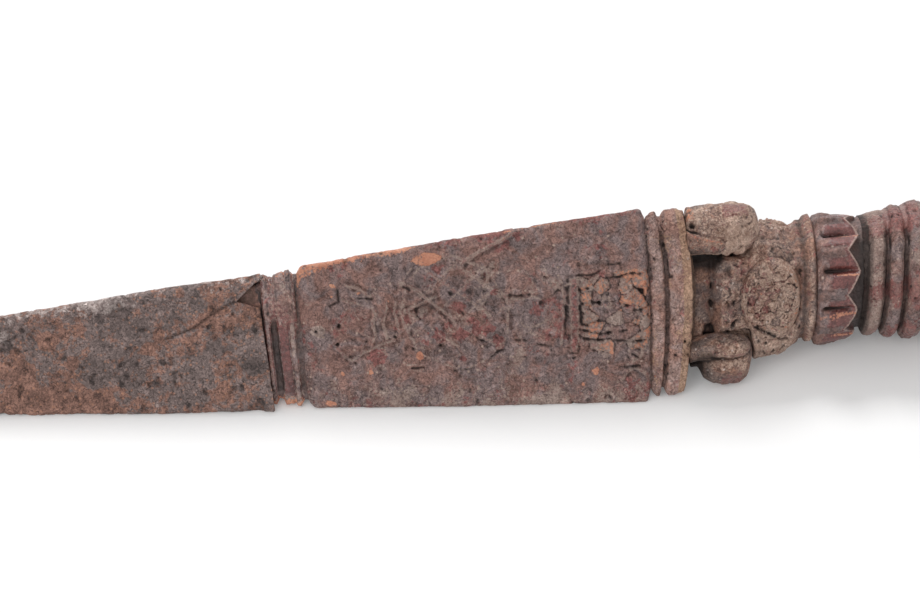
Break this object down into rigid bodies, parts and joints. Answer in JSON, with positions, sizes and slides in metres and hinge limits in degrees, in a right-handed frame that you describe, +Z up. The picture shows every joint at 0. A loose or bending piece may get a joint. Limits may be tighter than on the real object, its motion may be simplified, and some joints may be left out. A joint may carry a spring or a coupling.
{
  "type": "phurba",
  "caption": "Carved wooden ritual peg with a three-sided panelled blade, a sheet-iron shoe on the point, a makara capital, lotus collars and a headed handle.",
  "frame": {"origin": "centre of the footprint box, on the surface that the phurba lies on", "axes": "+X from the tip to the topknot, along the length seen from above; +Z up from the surface; the blade's lower facet lies flat on Z = 0 and its middle arris points up, so the axis climbs about 2.5 degrees towards the handle"},
  "size_m": [0.3094, 0.0344, 0.0299],
  "materials": {
    "shoe_iron": "sheet iron under dark crust, grey sheen on the arrises and orange rust speckle",
    "bare_wood": "smooth old wood, unpainted",
    "crusted_wood": "carved wood under a thick, dry, brown-black crust",
    "polished_wood": "carved wood worn dark red and half glossy by handling"
  },
  "bodies": {
    "root": {"iron_shoe": "shoe_iron", "point_core": "bare_wood", "neck_beads": "polished_wood", "blade_panel": "crusted_wood", "blade_collar": "polished_wood", "makara_capital": "crusted_wood", "makara_scrolls": "crusted_wood", "lattice_bosses": "crusted_wood", "lotus_collar": "polished_wood", "grip_rings": "crusted_wood", "lobed_grip": "polished_wood", "upper_rings": "crusted_wood", "upper_lotus": "polished_wood", "three_faced_head": "crusted_wood", "leaf_crown": "crusted_wood", "topknot": "polished_wood"}
  },
  "joints": []
}
